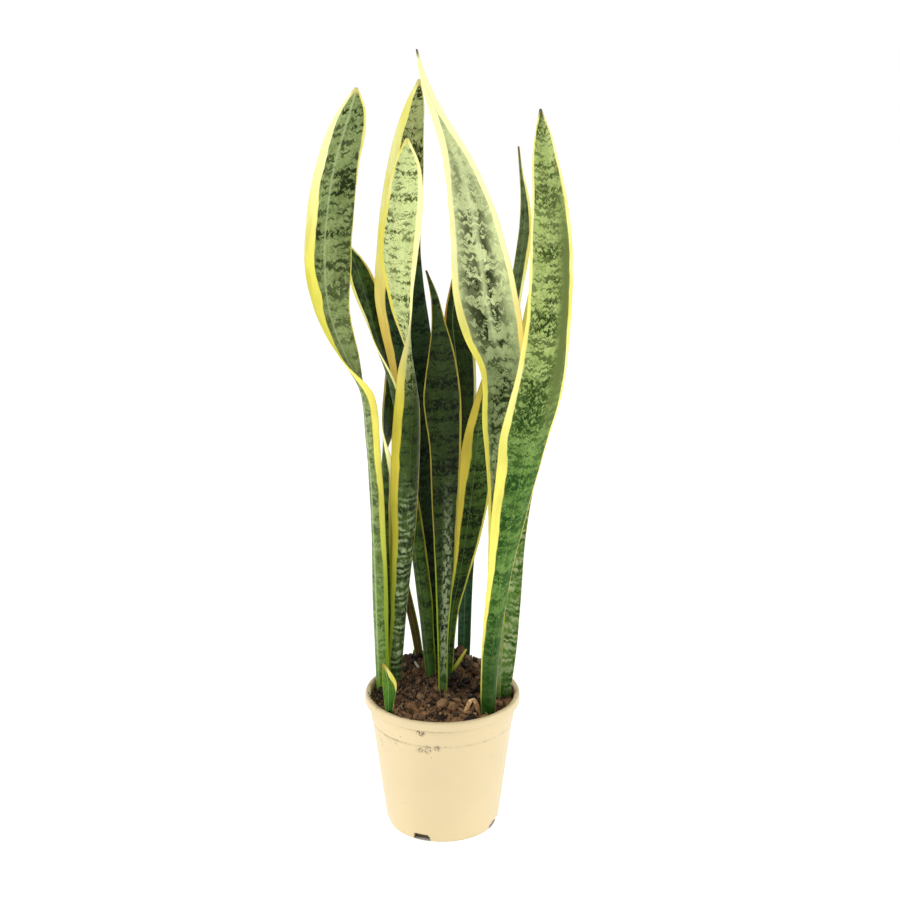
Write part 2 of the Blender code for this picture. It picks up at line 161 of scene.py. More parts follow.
LEAVES = {
    "leaf_left_tall": dict(
        borders=((150, 2, 0.3), (350, 3.5, 0.5), (480, 4.5, 0.6), (545, 10, 0.8), (600, 19, 0.8),
                 (700, 18, 0.8), (765, 13, 2.5), (810, 3, 2)),
        split=690, left=(YELLOW, PALE), right=(YELLOW, LEMON), green=(180, 480), fade=(230, 430),
        faint=(560, 680, 0.65), tip=tint(206, 198, 120),
        low=(tint(120, 150, 72), tint(76, 104, 34), tint(38, 60, 8)),
        high=(tint(152, 168, 110), tint(104, 122, 64), tint(32, 46, 8)),
        marks=1.0, chevrons=0.6, stripe=(0.1, 2.8, 0.7), foot=tint(84, 124, 20), foot_length=70.0,
    ),
    "leaf_left_front": dict(
        borders=((150, 0.8, 1.6), (260, 1, 3), (330, 1.5, 5.2), (470, 2, 6.6), (540, 2.5, 5),
                 (600, 3, 5), (680, 4.5, 7.5), (745, 2.5, 3.5)),
        split=540, left=(tint(206, 192, 66), YELLOW), right=(tint(206, 192, 66), PALE), green=(160, 400),
        fade=(470, 560), tip=tint(222, 212, 120),
        low=(tint(74, 96, 42), tint(46, 66, 22), tint(24, 38, 10)), pale=tint(172, 190, 140),
        high=(tint(212, 224, 156), tint(190, 204, 132), tint(62, 76, 18)),
        marks=0.95, grain=1.4, dense=-0.015, chevrons=0.95, rise=(330, 420), stripe=(0.0, 0.8, 0.1),
    ),
    "leaf_left_back": dict(
        borders=((160, 0.3, 0.2), (450, 4, 0.2), (520, 9, 0.2), (600, 13, 0.2), (700, 12.5, 0.4),
                 (770, 9, 0.8), (805, 3, 1)),
        split=590, left=(GOLD, LEMON), marks=1.0, tip=tint(206, 198, 120),
        # low: painted shade on the lower blade, which sits behind the front leaves.
        fade=(600, 710), low=(tint(50, 74, 40), tint(32, 52, 26), tint(16, 30, 12)),
        high=(tint(176, 184, 122), tint(138, 148, 88), tint(44, 52, 14)),
    ),
    "leaf_left_leaning": dict(
        borders=((166, 0.6, 2.2), (400, 1.2, 3), (500, 3, 2.6), (560, 5, 2.6), (640, 2.5, 2)),
        left=(OLIVE, LEMON), right=(BRONZE, GOLD), low=DEEP, high=DEEP,
    ),
    "leaf_left_short": dict(
        borders=((164, 1.5, 1), (330, 3, 1.5), (400, 6, 2), (470, 4, 2), (510, 2, 1)),
        split=360, left=(OLIVE, YELLOW), right=(OLIVE, OLIVE), low=SHADED, high=DEEP, fade=(200, 400),
    ),
    "leaf_brown_narrow": dict(
        borders=((168, 0.4, 1.2), (320, 0.5, 1.8)), left=(OLIVE, OLIVE), right=(BRONZE, BRONZE),
        low=(tint(100, 82, 38), tint(76, 62, 26), tint(44, 36, 16)),
        high=(tint(92, 80, 40), tint(70, 58, 28), tint(44, 36, 16)), marks=0.3,
        foot=tint(78, 60, 28),
    ),
    "leaf_centre_front": dict(
        borders=((159, 2.0, 1.2), (300, 1.6, 1.6), (450, 1.5, 2.0), (540, 1.3, 1.6), (625, 0.5, 0.5)),
        split=760, left=(tint(150, 138, 58), OLIVE), right=(tint(150, 138, 58), OLIVE), green=(200, 420),
        # low, high: a dark palette, painted shade on this inner leaf behind the front leaves.
        low=(tint(58, 76, 34), tint(34, 50, 16), tint(12, 22, 3)),
        high=(tint(54, 70, 30), tint(32, 48, 14), tint(12, 22, 3)),
        marks=1.0, grain=1.4, stripe=(0.3, 11.0, 0.7), stripe_low=True, tip=tint(70, 66, 34),
    ),
    "leaf_centre_back": dict(
        borders=((165, 0.8, 0.8), (420, 2.2, 2.4), (520, 2.6, 3.4), (620, 1.5, 2)),
        split=300, left=(OLIVE, BRONZE), right=(OLIVE, OLIVE), low=SHADED, high=SHADED,
        stripe=(-0.35, 0.7, 0.5),
    ),
    "leaf_right_low": dict(
        borders=((157, 0.6, 0.6), (240, 2, 1.2), (330, 8, 2.2), (400, 13, 2.6), (480, 9, 2.4),
                 (512, 2, 1)),
        split=620, left=(tint(194, 176, 66), GOLD), right=(tint(206, 196, 84), GOLD), green=(170, 300),
        low=DEEP, high=(tint(108, 136, 70), tint(62, 90, 34), tint(26, 44, 10)), marks=1.0, grain=1.5,
    ),
    "leaf_tallest": dict(
        borders=((153, 0.6, 0.4), (320, 2.6, 1.5), (440, 4.5, 4), (520, 6, 6.5), (570, 8, 7),
                 (650, 6, 6), (710, 5, 5.5), (750, 6, 6), (790, 7.5, 7.5), (845, 3, 3)),
        split=600, left=(YELLOW, PALE), right=(GOLD, PALE), fade=(500, 640),
        low=(tint(152, 168, 114), tint(96, 112, 62), tint(32, 46, 10)),
        high=(tint(212, 222, 162), tint(180, 192, 132), tint(30, 44, 5)),
        marks=1.0, grain=0.8, patches=1.0, ripple=0.9, tip=tint(46, 46, 26),
        # shades: painted shade on both sides of the keel, and a painted highlight on the keel
        shades=((-0.42, 12.0, 0.2), (0.34, 11.0, 0.3), (-0.05, 8.0, -0.7)), stripe=(0.15, 1.0, 0.1),
    ),
    "leaf_back_narrow": dict(
        borders=((158, 0.2, 0.4), (350, 0.3, 1.0), (500, 0.5, 2.5), (600, 0.8, 3.8), (680, 0.6, 3),
                 (730, 0.4, 0.6)),
        split=400, left=(OLIVE, OLIVE), right=(OLIVE, LEMON),
        low=(tint(42, 78, 46), tint(26, 54, 30), tint(14, 32, 16)),
        high=(tint(92, 108, 62), tint(58, 76, 36), tint(28, 42, 14)), marks=0.7, grain=1.5,
    ),
    "leaf_right_front": dict(
        borders=((149, 0.4, 0.4), (215, 1, 0.5), (250, 2.6, 0.5), (300, 4.5, 0.6), (350, 7, 1),
                 (430, 8.5, 1.6), (520, 5.5, 3), (600, 3, 4.8), (700, 2, 4.5), (780, 1.2, 2)),
        split=480, left=(tint(228, 220, 104), LEMON), right=(YELLOW, YELLOW), green=(130, 200),
        fade=(400, 600),
        low=(tint(108, 142, 66), tint(66, 104, 34), tint(34, 70, 14)),
        high=(tint(182, 198, 122), tint(142, 164, 82), tint(44, 62, 12)),
        # shades: a painted shade strip inside the right margin, where the blade turns away from the light
        marks=1.0, grain=1.15, dense=0.03, patches=0.3, ripple=0.7, shades=((0.62, 25.0, 1.0),),
        foot=tint(26, 60, 8), foot_length=185.0, tip=tint(46, 46, 26),
    ),
    "leaf_right_back": dict(
        borders=((150, 0.2, 0.2), (330, 1.2, 0.3), (450, 3, 1), (560, 4.5, 2.4), (615, 2, 1.2)),
        split=330, left=(YELLOW, YELLOW), right=(YELLOW, YELLOW), rise=(400, 520),
        low=(tint(128, 162, 82), tint(72, 116, 42), tint(38, 76, 18)), pale=tint(196, 208, 154),
        high=(tint(170, 188, 120), tint(124, 148, 74), tint(50, 72, 24)), chevrons=0.95,
        foot=tint(50, 106, 26),
    ),
    "pup_left": dict(
        borders=((149, 0.2, 0.2), (172, 0.3, 0.4), (180, 0.3, 3), (190, 0.3, 6), (203, 0.3, 2)),
        split=150, left=(GREEN_EDGE, GREEN_EDGE), right=(YELLOW, YELLOW), green=(140, 150),
        fade=(150, 190), marks=0.35,
        low=(tint(78, 136, 42), tint(50, 108, 28), tint(34, 80, 20)),
        high=(tint(104, 140, 48), tint(70, 112, 34), tint(46, 84, 24)),
        foot=tint(64, 126, 34), foot_length=8.0, stripe=(-0.1, 0.8, 0.6), tip=tint(170, 150, 60),
    ),
    "shoot_centre": dict(
        borders=((160, 0.3, 0.3), (190, 0.3, 0.3)), green=(140, 160), fade=(165, 185), marks=0.2,
        low=(tint(160, 168, 46), tint(120, 138, 36), tint(82, 100, 24)),
        high=(tint(210, 206, 78), tint(170, 174, 54), tint(112, 122, 34)),
        foot=tint(110, 130, 34), foot_length=8.0, tip=tint(206, 192, 80),
    ),
}

# Soil. Its top has the CAD soil's level: a plain at the front and a mound at the back, in mm.
SOIL_FRONT = 145.0
MOUND_HEIGHT = 31.0
MOUND_CENTRE = (-3.0, 60.0)
MOUND_SPREAD = (60.0, 50.0)
SOIL_EDGE = 78.0
# The soil's outline below its edge, down the pot's wall to its floor: radius and height in mm
SOIL_OUTLINE = ((77.6, 140.0), (75.6, 124.5), (74.8, 122.0), (68.0, 66.0), (60.6, 10.2), (57.0, 6.9))
SOIL_RINGS = 120
SOIL_STEPS = 300

# What lies in and on the soil. A tone picks a colour in soil_material.
BLACK, BROWN, BARK, STRAW = 0.1, 0.5, 0.75, 0.95
SOIL_SEED = 41
CLODS = 330
CHIPS = 120
CRUMBS = 1500
FIBRES = 16
FIBRE_SIDES = 5
# Crumbs on the pot's lip: from and to an angle in degrees, and how many
LIP_CRUMBS = ((-130, -110, 22), (-176, -160, 12), (20, 34, 8))
LIP_LEVEL = 154.9

# Pot: points round it, where its drain notches are in degrees, and the size in mm of what cuts them
POT_STEPS = 192
NOTCH_ANGLES = (-112.0, -22.0, 68.0, 158.0)
NOTCH_RADIUS = 59.5
NOTCH_DEPTH = 11.0
NOTCH_WIDTH = 21.0
NOTCH_NARROWING = 0.8
NOTCH_HEIGHT = 10.0
NOTCH_BELOW = 1.0
NOTCH_ROUND = 1.2
# Smudges of soil on the collar and under its step: angle in degrees, height and reach in mm
SMUDGES = ((-106.5, 141.0, 7.0), (-108.0, 118.5, 6.5), (-102.0, 119.5, 8.0), (-94.0, 121.5, 6.0),
           (-76.0, 118.0, 3.0), (40.0, 120.0, 7.0), (150.0, 141.0, 6.0))
COLLAR_RADIUS = 79.5

# Swings per metre of the wrinkles on the husk and the sliver of root
WRINKLES = 260

# Room: the floor glows, except within GLOW_RADIUS under the pot, and the sky is bright at the
# horizon, up to the first of SKY_TURN, and softer above the second. Both are sines of the elevation.
FLOOR_REACH = 30.0
FLOOR_GLOW = 0.70
GLOW_RADIUS = 59.0 * MM
SKY_TURN = (0.20, 0.34)
SKY_STRENGTH = (1.0, 0.42)

# Camera: it looks along +Y, down by an angle in degrees, through a lens in mm
CAMERA_PLACE = (0.0083, -1.940, 1.065)
CAMERA_DOWN = 18.07
CAMERA_LENS = 77.36
SENSOR_WIDTH = 36.0


# ---- Meshes


def linked(name, data):
    """A new object in the scene."""
    obj = bpy.data.objects.new(name, data)
    bpy.context.scene.collection.objects.link(obj)
    return obj


def new_piece(name, mesh, material, replaced=None):
    """Puts a mesh into the scene as a piece that rides on the plant's one body."""
    obj = linked(name, mesh)
    mesh.materials.append(material)
    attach(obj, "root")
    if replaced:
        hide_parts(replaced)
    return obj


def mesh_from(name, points, faces):
    mesh = bpy.data.meshes.new(name)
    mesh.from_pydata([tuple(p) for p in points], [], [tuple(f) for f in faces])
    mesh.update()
    mesh.shade_smooth()
    return mesh


def level_ring(radius, z, n):
    """n points round the axis."""
    turns = [2 * math.pi * i / n for i in range(n)]
    return [(radius * math.cos(turn), radius * math.sin(turn), z) for turn in turns]


def closed_rings(name, points, n):
    """A closed mesh of points in mm: one on the axis, rings of n, and one on the axis again."""
    last = len(points) - 1
    faces = []
    for i in range(n):
        j = (i + 1) % n
        faces.append((0, 1 + i, 1 + j))
        for ring in range(1, last - n, n):
            faces.append((ring + i, ring + n + i, ring + n + j, ring + j))
        faces.append((last - n + i, last, last - n + j))
    return mesh_from(name, np.array(points) * MM, faces)


def evaluated_copy(obj, name):
    """A mesh of the object as its modifiers leave it. The object itself is removed."""
    bpy.context.view_layer.update()
    graph = bpy.context.evaluated_depsgraph_get()
    mesh = bpy.data.meshes.new_from_object(obj.evaluated_get(graph))
    mesh.name = name
    mesh.materials.clear()
    mesh.shade_smooth()
    bpy.data.objects.remove(obj)
    return mesh


def give(mesh, name, values):
    """Stores one number per vertex on the mesh, for its material to read."""
    layer = mesh.attributes.new(name, "FLOAT", "POINT")
    layer.data.foreach_set("value", np.asarray(values, np.float32))


def node_arrays(name):
    """Points and triangles of a CAD node."""
    mesh = frame["nodes"][name].data
    mesh.calc_loop_triangles()
    points = np.empty(len(mesh.vertices) * 3, np.float32)
    mesh.vertices.foreach_get("co", points)
    faces = np.empty(len(mesh.loop_triangles) * 3, np.int32)
    mesh.loop_triangles.foreach_get("vertices", faces)
    return points.reshape(-1, 3).astype(float), faces.reshape(-1, 3)


def level_cut(points, faces, z):
    """Points in which the level plane at z meets the triangles' edges."""
    found = []
    for a, b in ((0, 1), (1, 2), (2, 0)):
        p = points[faces[:, a]]
        q = points[faces[:, b]]
        crosses = (p[:, 2] - z) * (q[:, 2] - z) < 0
        p = p[crosses]
        q = q[crosses]
        share = (z - p[:, 2]) / (q[:, 2] - p[:, 2])
        found.append(p + (q - p) * share[:, None])
    return np.concatenate(found)[:, :2]


def section_of(cut, before):
    """(left margin, right margin, fold, thickness) of a level cut; before is the last chord."""
    apart = np.linalg.norm(cut[:, None] - cut[None], axis=2)
    a, b = np.unravel_index(apart.argmax(), apart.shape)
    left, right = cut[a], cut[b]
    chord = right - left
    if chord @ before < 0:
        left, right, chord = right, left, -chord
    width = np.linalg.norm(chord)
    along = chord / width
    facing = np.array((along[1], -along[0]))
    rel = cut - (left + right) / 2
    middle = (np.abs(rel @ along) < 0.12 * width)
    out = rel[middle] @ facing
    return left, right, (out.max() + out.min()) / 2, out.max() - out.min()


def blade_stations(name):
    """What the CAD leaf says at each of its own levels, from the tip down, lowest first."""
    points, faces = node_arrays(name)
    levels = np.unique(np.round(points[:, 2], 5))
    levels = levels[np.r_[True, np.diff(levels) > 0.5 * MM]]
    stations = []
    before = np.array((1.0, 0.0))
    for k in range(len(levels) - 1, -1, -1):
        inset = SLICE_INSET if k == 0 else -SLICE_INSET
        left, right, fold, thick = section_of(level_cut(points, faces, levels[k] + inset), before)
        before = right - left
        stations.append((levels[k], *left, *right, fold, thick))
    return np.array(stations[::-1])


def through(stations, heights):
    """Smooth curves through the stations' values, read at the heights."""
    z = stations[:, 0]
    values = stations[:, 1:]
    slopes = np.gradient(values, z, axis=0)
    i = np.clip(np.searchsorted(z, heights) - 1, 0, len(z) - 2)
    span = (z[i + 1] - z[i])[:, None]
    t = (heights - z[i])[:, None] / span
    ends = (1 + 2 * t) * (1 - t) ** 2 * values[i] + t * t * (3 - 2 * t) * values[i + 1]
    leans = t * (1 - t) ** 2 * span * slopes[i] + t * t * (t - 1) * span * slopes[i + 1]
    return ends + leans


def softened(values, reach):
    """A running mean over reach rows to each side, keeping both ends."""
    padded = np.pad(values, ((reach, reach), (0, 0)), mode="edge")
    kernel = np.hanning(2 * reach + 3)[1:-1]
    kernel /= kernel.sum()
    smooth = np.stack([np.convolve(column, kernel, "valid") for column in padded.T], axis=1)
    smooth[0], smooth[-1] = values[0], values[-1]
    return smooth


def blade_ring(row, t, look, z):
    """Points round one level of a blade, with where each is across it."""
    left, right = row[0:2], row[2:4]
    chord = right - left
    width = max(np.linalg.norm(chord), LEAST_WIDTH)
    along = chord / max(np.linalg.norm(chord), 1e-6)
    facing = np.array((along[1], -along[0]))
    centre = (left + right) / 2
    thick = min(max(row[5], LEAST_THICKNESS), 0.6 * width)
    margin = min(MARGIN_THICKNESS, 0.6 * thick)
    fade = min(1.0, width / FULL_RIPPLE_WIDTH) * min(1.0, t * 4) * look["ripple"]
    ring = []
    for i in range(POINTS_ROUND):
        angle = 2 * math.pi * i / POINTS_ROUND
        u = -math.cos(angle)
        u = math.copysign(abs(u) ** 0.8, u)
        side = 1.0 if i * 2 < POINTS_ROUND else -1.0
        half = (margin + (thick - margin) * (1 - u * u)) / 2 * math.sqrt(max(0.0, 1 - abs(u) ** 12))
        out = row[4] * (1 - u * u) + side * half
        wave = noise.noise((look["seed"] * 7.1, z * WAVES, 0.9 * u))
        fine = noise.noise((look["seed"] * 3.3, z * FINE_WAVES, 2.0 * u))
        out += (wave * WAVE_DEPTH * u * u + fine * FINE_DEPTH) * fade
        nick = noise.noise((look["seed"] * 5.9, z * NICKS, math.copysign(4.0, u)))
        across = u * width / 2 + nick * NICK_DEPTH * fade * u ** 3
        place = centre + along * across + facing * out
        ring.append((place[0], place[1], z, u, width, side))
    return ring


def blade_mesh(name, look):
    """A fine closed blade along the CAD leaf, thick at the keel, with rounded rippling margins."""
    stations = blade_stations(name)
    low, high = stations[0, 0], stations[-1, 0]
    rows = max(LEAST_ROWS, int((high - low) / ROW_STEP))
    share = np.linspace(0, 1, rows)
    heights = low + (high - low) * (1 - (1 - share) ** CROWDING)
    values = softened(through(stations, heights), SOFTENED_ROWS)
    rings = [blade_ring(row, (z - low) / (high - low), look, z) for z, row in zip(heights, values)]
    data = np.array(rings).reshape(-1, 6)
    n = POINTS_ROUND
    faces = []
    for k in range(rows - 1):
        for i in range(n):
            j = (i + 1) % n
            faces.append((k * n + i, k * n + j, (k + 1) * n + j, (k + 1) * n + i))
    faces.append(tuple(range(n - 1, -1, -1)))
    faces.append(tuple(range((rows - 1) * n, rows * n)))
    mesh = mesh_from(name + "_blade", data[:, :3], faces)
    give(mesh, "u", data[:, 3])
    give(mesh, "wide", data[:, 4])
    give(mesh, "side", data[:, 5])
    give(mesh, "along", data[:, 2] - low)
    give(mesh, "to_tip", high - data[:, 2])
    heights, *widths = (np.array(column, float) for column in zip(*look["borders"]))
    for side, width in zip(("left", "right"), widths):
        border = np.interp(data[:, 2], heights * MM, width * MM)
        give(mesh, "border_" + side, np.minimum(border, 0.5 * data[:, 4]))
    return mesh


# ---- Materials


class Shader:
    """A material's node tree, with a short call for each kind of node."""

    def __init__(self, name):
        self.material = bpy.data.materials.new(name)
        self.material.use_nodes = True
        self.tree = self.material.node_tree
        self.surface = self.tree.nodes["Principled BSDF"]

    def feed(self, socket, value):
        if isinstance(value, bpy.types.NodeSocket):
            self.tree.links.new(value, socket)
        elif isinstance(value, tuple) and socket.type == "RGBA":
            socket.default_value = (*value, 1.0)
        else:
            socket.default_value = value

    def node(self, kind, values, out=0, **settings):
        made = self.tree.nodes.new("ShaderNode" + kind)
        for key, value in settings.items():
            setattr(made, key, value)
        for place, value in values.items():
            self.feed(made.inputs[place], value)
        return made.outputs[out]

    def number(self, name):
        return self.node("Attribute", {}, out=2, attribute_name=name)

    def math(self, operation, a, b=0.0, c=0.0):
        return self.node("Math", {0: a, 1: b, 2: c}, operation=operation)

    def add(self, a, b):
        return self.math("ADD", a, b)

    def times(self, a, b):
        return self.math("MULTIPLY", a, b)

    def vector(self, x, y, z):
        return self.node("CombineXYZ", {0: x, 1: y, 2: z})

    def noise(self, vector, scale=1.0, detail=2.0, rough=0.5, warp=0.0):
        values = {"Vector": vector, "Scale": scale, "Detail": detail, "Roughness": rough}
        values["Distortion"] = warp
        return self.node("TexNoise", values)

    def step(self, value, low, high, to_low=0.0, to_high=1.0):
        values = {0: value, 1: low, 2: high, 3: to_low, 4: to_high}
        return self.node("MapRange", values, interpolation_type="SMOOTHSTEP")

    def mix(self, share, a, b, how="MIX"):
        values = {0: share, 6: a, 7: b}
        return self.node("Mix", values, out=2, data_type="RGBA", blend_type=how)

    def bump(self, height, strength, distance, under=None):
        values = {"Height": height, "Strength": strength, "Distance": distance}
        if under:
            values["Normal"] = under
        return self.node("Bump", values)

    def finish(self, colour, roughness, normal=None, **fixed):
        self.feed(self.surface.inputs["Base Color"], colour)
        self.feed(self.surface.inputs["Roughness"], roughness)
        if normal:
            self.feed(self.surface.inputs["Normal"], normal)
        for key, value in fixed.items():
            self.surface.inputs[key.replace("_", " ")].default_value = value
        return self.material


class LeafSkin(Shader):
    """A leaf's skin. Each method whose name starts with "with" lays one thing over a colour.

    A field's frequencies are in turns per metre, and its shift only sets it apart from the others.
    """

    def __init__(self, name, look, low):
        super().__init__(name + "_skin")
        self.look = look
        self.low = low
        self.u = self.number("u")
        self.wide = self.number("wide")
        self.along = self.number("along")
        self.to_tip = self.number("to_tip")
        self.seed = self.add(self.times(self.number("side"), 3.0), look["seed"] * 11.3)
        self.across = self.times(self.times(self.u, self.wide), 0.5)
        arch = self.times(self.times(self.times(self.u, self.u), self.wide), 0.10)
        self.level = self.add(self.along, self.times(arch, -1.0))
        self.up = self.between(look["fade"])
        self.grain = self.field(850, 620, 1.1, 3.0, 0.7)
        self.speckle = self.step(self.grain, 0.34, 0.62)
        self.streak = self.field(520, 12, 7.7, 3.0, 0.6)
        # broad: soft bands along the leaf that give painted shade and painted highlight
        self.broad = self.field(75, 4, 16.6, 2.0, 0.5)
        drift = self.times(self.add(self.field(70, 50, 2.2, 2.0), -0.5), 0.020)
        self.teeth = self.math("PINGPONG", self.add(self.across, drift), 0.0032 / look["grain"])
        jag = self.times(self.add(self.field(420, 300, 2.9, 2.0), -0.5), 0.004)
        self.zigzag = self.add(self.add(self.level, self.times(self.teeth, 0.9)), jag)

    def field(self, k_across, k_along, shift, detail=2.0, rough=0.5, warp=0.0, way=None):
        """Noise over the leaf. way is the height it follows, which is along unless given."""
        height = self.times(self.along if way is None else way, k_along)
        place = self.vector(self.times(self.across, k_across), height, self.add(self.seed, shift))
        return self.noise(place, 1.0, detail, rough, warp)

    def between(self, heights, to_low=0.0, to_high=1.0):
        """A soft step along the leaf between two heights over the floor, in mm."""
        start, end = (height * MM - self.low for height in heights)
        return self.step(self.along, start, end, to_low, to_high)

    def line(self, centre, full, none):
        """1 up to the distance full from a line along the leaf, and 0 from the distance none."""
        away = self.times(self.add(self.u, -centre), self.times(self.wide, 0.5))
        return self.step(self.math("ABSOLUTE", away), full, none, 1.0, 0.0)

    def ground(self):
        mottle = self.step(self.field(120, 70, 4.1, 4.0, 0.7, 0.4, self.level), 0.36, 0.62)
        tone = self.add(self.times(mottle, 0.55), self.times(self.speckle, 0.5))
        (light, mid, _), (high_light, high_mid, _) = self.look["low"], self.look["high"]
        return self.mix(self.up, self.mix(tone, mid, light), self.mix(tone, high_mid, high_light))

    def with_marks(self, colour):
        """Rows of dark blobs and thin lines across the leaf, both in zigzag, and crumbs."""
        finer = self.look["grain"]
        least = 0.50 - self.look["dense"]
        rows = self.field(16, 62 * finer, 3.7, 1.0, 0.5, 0.0, self.zigzag)
        rows = self.step(rows, least, least + 0.07)
        blobs = self.field(190 * finer, 210 * finer, 5.3, 3.0, 0.65, 0.3, self.zigzag)
        blobs = self.step(blobs, 0.45, 0.52)
        thin = self.field(60 * finer, 230 * finer, 6.6, 2.0, 0.55, 0.0, self.zigzag)
        thin = self.step(thin, least + 0.06, least + 0.095)
        crumbs = self.step(self.field(330 * finer, 330 * finer, 6.9, 2.0, 0.6), 0.58, 0.64)
        ink = self.math("MAXIMUM", self.times(rows, blobs), self.times(thin, 0.8))
        ink = self.math("MAXIMUM", ink, self.times(crumbs, 0.45))
        if self.look["patches"]:
            ink = self.patched(ink)
        below, above, share = self.look["faint"]
        ink = self.times(ink, self.between((below, above), share, 1.0))
        dark = self.mix(self.up, self.look["low"][2], self.look["high"][2])
        return self.mix(self.times(ink, self.look["marks"]), colour, dark)

    def patched(self, ink):
        """The marks, fainter beside the keel, with broken patches there instead."""
        finer = self.look["grain"]
        share = self.look["patches"]
        near = self.step(self.math("ABSOLUTE", self.add(self.u, 0.1)), 0.25, 0.8, 1.0, 0.1)
        near = self.times(near, self.step(self.to_tip, 0.08, 0.22, 0.4, 1.0))
        patch = self.step(self.field(60, 40, 9.9, 3.0, 0.6, 0.5), 0.49, 0.55)
        broken = self.field(180 * finer, 200 * finer, 8.8, 3.0, 0.62, 0.3, self.zigzag)
        broken = self.step(broken, 0.455, 0.495)
        fuller = self.times(self.times(patch, broken), self.times(near, share))
        fainter = self.step(near, 0.0, 1.0, 1.0 - 0.7 * share, 1.0)
        return self.math("MAXIMUM", self.times(ink, fainter), fuller)

    def with_chevrons(self, colour):
        """Pale bands, arched over the keel and broken up."""
        top = self.between(self.look["rise"], 1.0, 0.0)
        phase = self.times(self.add(self.level, self.times(self.teeth, 0.7)), 760.0)
        phase = self.add(phase, self.times(self.field(45, 55, 12.2), 16.0))
        arcs = self.step(self.math("SINE", phase), -0.8, 1.0)
        broken = self.step(self.field(130, 100, 14.4, 4.0, 0.65), 0.36, 0.62)
        broken = self.times(broken, self.step(self.speckle, 0.0, 1.0, 0.6, 1.0))
        share = self.times(self.times(arcs, broken), self.times(top, self.look["chevrons"]))
        return self.mix(share, colour, self.look["pale"])

    def with_streaks_and_painted_shade(self, colour):
        """Fine streaks that run along the leaf, and broad soft bands along it of painted shade and
        painted highlight.
        """
        shade = self.add(self.times(self.streak, 0.40), self.times(self.broad, 0.75))
        shade = self.add(shade, 0.42)
        return self.mix(1.0, colour, self.vector(shade, shade, shade), "MULTIPLY")

    def with_painted_shading(self, colour):
        """The look's painted shade and painted highlight: soft dark or pale bands along the leaf."""
        light, mid, _ = self.look["high"]
        soft = self.add(self.times(self.broad, 0.9), 0.5)
        for centre, width, strength in self.look["shades"]:
            line = self.times(self.line(centre, 0.0, 0.6 * width * MM), self.step(self.up, 0.0, 0.8))
            line = self.times(line, self.step(self.to_tip, 0.04, 0.14))
            # Painted shade takes a darkened mid green, and a painted highlight takes the light green.
            tone = tuple(0.42 * c for c in mid) if strength > 0 else light
            colour = self.mix(self.times(self.times(line, soft), abs(strength)), colour, tone)
        return colour

    def with_stripe(self, colour):
        centre, width, strength = self.look["stripe"]
        line = self.line(centre, 0.15 * width * MM, 0.6 * width * MM)
        if self.look["stripe_low"]:
            spots = self.step(self.field(260, 130, 18.8, 4.0, 0.7), 0.44, 0.56)
            line = self.times(self.times(line, spots), self.step(self.along, 0.16, 0.30, 1.0, 0.0))
        return self.mix(self.times(line, 0.75 * strength), colour, STRIPE)

    def with_foot(self, colour):
        foot = self.step(self.along, 0.015, 0.015 + self.look["foot_length"] * MM, 1.0, 0.0)
        return self.mix(self.times(foot, 0.85), colour, self.look["foot"])

    def with_border(self, colour, edge, sign, shift):
        """The border on one margin: a wavering band with paler clouds, gold near its inner edge,
        green lines, a green foot and a bronze rim."""
        from_edge = self.times(self.add(self.times(self.u, sign), 1.0), self.times(self.wide, 0.5))
        wobble = self.add(self.times(self.field(30, 26, 20.0 + shift), 0.5), 0.75)
        feather = self.add(self.field(480, 40, 24.0 + shift, 3.0, 0.6), -0.5)
        reach = self.times(self.number("border_" + edge), wobble)
        reach = self.add(reach, self.times(feather, 0.0020))
        inside = self.math("SUBTRACT", reach, from_edge)
        lower, upper = self.look[edge]
        split = self.look["split"]
        raised = self.between((split - 70, split + 70))
        plain_band = self.mix(raised, lower, upper)
        pale_band = self.mix(raised, tuple(min(1.0, 1.25 * c) for c in lower), self.mix(0.7, upper, PALE))
        cloud = self.step(self.field(50, 16, 30.0 + shift, 3.0), 0.36, 0.62)
        border = self.mix(cloud, plain_band, pale_band)
        warm = self.step(self.field(40, 14, 34.0 + shift, 3.0), 0.52, 0.70)
        warm = self.times(warm, self.step(inside, 0.0, 0.0035, 1.0, 0.2))
        border = self.mix(self.times(warm, 0.45), border, GOLD)
        border = self.mix(self.times(self.step(self.streak, 0.5, 0.75), 0.15), border, GREEN_EDGE)
        border = self.mix(self.between(self.look["green"]), GREEN_EDGE, border)
        border = self.mix(self.step(from_edge, 0.0002, 0.0008, 0.2, 0.0), border, BRONZE)
        return self.mix(self.step(inside, -0.0004, 0.0007), colour, border)

    def with_dry_tip(self, colour):
        dry = self.step(self.to_tip, 0.001, 0.011, 1.0, 0.0)
        return self.mix(self.times(dry, 0.9), colour, self.look["tip"])


def leaf_material(name, look, low):
    """The skin of one leaf, whose CAD node starts at the height low."""
    s = LeafSkin(name, look, low)
    colour = s.with_marks(s.ground())
    if look["chevrons"]:
        colour = s.with_chevrons(colour)
    colour = s.with_foot(s.with_stripe(s.with_painted_shading(s.with_streaks_and_painted_shade(colour))))
    colour = s.with_border(colour, "left", 1.0, 0)
    colour = s.with_border(colour, "right", -1.0, 1)
    colour = s.with_dry_tip(colour)
    rough = s.step(s.grain, 0.3, 0.7, 0.42, 0.56)
    ribs = s.bump(s.field(900, 10, 13.0), 0.30, 0.0005)
    normal = s.bump(s.grain, 0.12, 0.0003, ribs)
    return s.finish(colour, rough, normal, Specular_IOR_Level=0.1)


